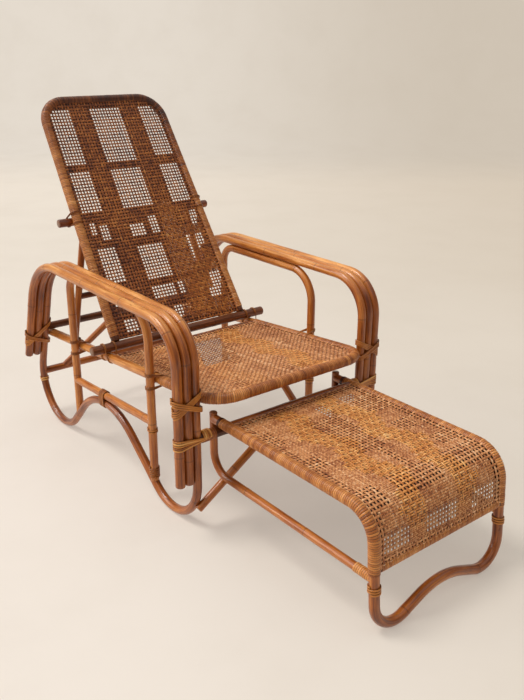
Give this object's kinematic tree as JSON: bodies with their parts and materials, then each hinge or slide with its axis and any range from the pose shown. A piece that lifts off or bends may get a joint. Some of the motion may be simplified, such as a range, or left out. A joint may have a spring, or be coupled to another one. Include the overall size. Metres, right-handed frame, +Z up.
{
  "type": "rattan lounge chair",
  "caption": "Bent rattan lounge chair: looped side frames, woven seat, hinged reclining back on a folding prop, and a woven footrest that slides under the seat.",
  "frame": {"origin": "on the floor under the middle of the whole chair's outline, footrest drawn out", "axes": "+X to the sitter's left, -Y to the front (footrest), +Z up"},
  "size_m": [0.7068, 1.536, 1.0344],
  "materials": {
    "pole_honey": "clear-coated rattan pole, honey brown with darker rings",
    "pole_wrapped": "rattan pole closely bound with split cane",
    "pole_brown": "dark brown rattan pole",
    "cane_gold": "woven split cane, golden brown",
    "cane_back": "woven split cane, dark brown",
    "cane_binding": "flat and round cane lashings"
  },
  "bodies": {
    "frame": {"arch_lashing_front_left": "cane_binding", "arch_lashing_front_right": "cane_binding", "arch_lashing_rear_left": "cane_binding", "arch_lashing_rear_right": "cane_binding", "arch_left": "pole_honey", "arch_right": "pole_honey", "arm_loop_left": "pole_honey", "arm_loop_right": "pole_honey", "arm_middle_left": "pole_honey", "arm_middle_right": "pole_honey", "arm_outer_left": "pole_honey", "arm_outer_right": "pole_honey", "front_brace_left": "pole_honey", "front_brace_right": "pole_honey", "front_crossbar": "pole_wrapped", "front_lashing_lower_left": "cane_binding", "front_lashing_lower_right": "cane_binding", "front_lashing_upper_left": "cane_binding", "front_lashing_upper_right": "cane_binding", "hinge_lashing_left": "cane_binding", "hinge_lashing_right": "cane_binding", "hump_lashing_left": "cane_binding", "hump_lashing_right": "cane_binding", "prop_pad_left": "pole_brown", "prop_pad_right": "pole_brown", "rear_brace_left": "pole_honey", "rear_brace_right": "pole_honey", "rear_cross_lashing_left": "cane_binding", "rear_cross_lashing_right": "cane_binding", "rear_crossbar_lower": "pole_brown", "rear_crossbar_upper": "pole_brown", "rear_lashing_left": "cane_binding", "rear_lashing_right": "cane_binding", "runner_lashing_left": "cane_binding", "runner_lashing_right": "cane_binding", "seat_frame": "pole_wrapped", "seat_rear_bar": "pole_wrapped", "seat_weave": "cane_gold", "side_rail_lashing_left": "cane_binding", "side_rail_lashing_right": "cane_binding", "side_rail_left": "pole_honey", "side_rail_right": "pole_honey"},
    "back": {"back_hinge_bar": "pole_brown", "back_hoop": "pole_wrapped", "back_mid_pole": "pole_wrapped", "back_weave": "cane_back", "back_lashing_left": "cane_binding", "back_lashing_right": "cane_binding"},
    "prop": {"prop_leg_left": "pole_honey", "prop_leg_right": "pole_honey", "prop_crossbar": "pole_wrapped"},
    "footrest": {"footrest_frame": "pole_wrapped", "footrest_front_bar": "pole_wrapped", "footrest_lashing_left": "cane_binding", "footrest_lashing_right": "cane_binding", "footrest_low_rail_left": "pole_honey", "footrest_low_rail_right": "pole_honey", "footrest_rear_bar": "pole_brown", "footrest_weave": "cane_gold"}
  },
  "joints": [
    {"name": "back_recline", "type": "hinge", "parent": "frame", "child": "back", "pos_m": [0, 0.30648, 0.35628], "axis": [1, 0, 0], "range_deg": [0, 25]},
    {"name": "prop_fold", "type": "hinge", "parent": "back", "child": "prop", "pos_m": [0, 0.55784, 0.68369], "axis": [1, 0, 0], "range_deg": [-25, 0]},
    {"name": "footrest_slide", "type": "slide", "parent": "frame", "child": "footrest", "axis": [0, 1, 0], "range_m": [0, 0.47]}
  ],
  "couplings": [
    {"joint": "prop_fold", "follows": "back_recline", "ratio": -1}
  ]
}
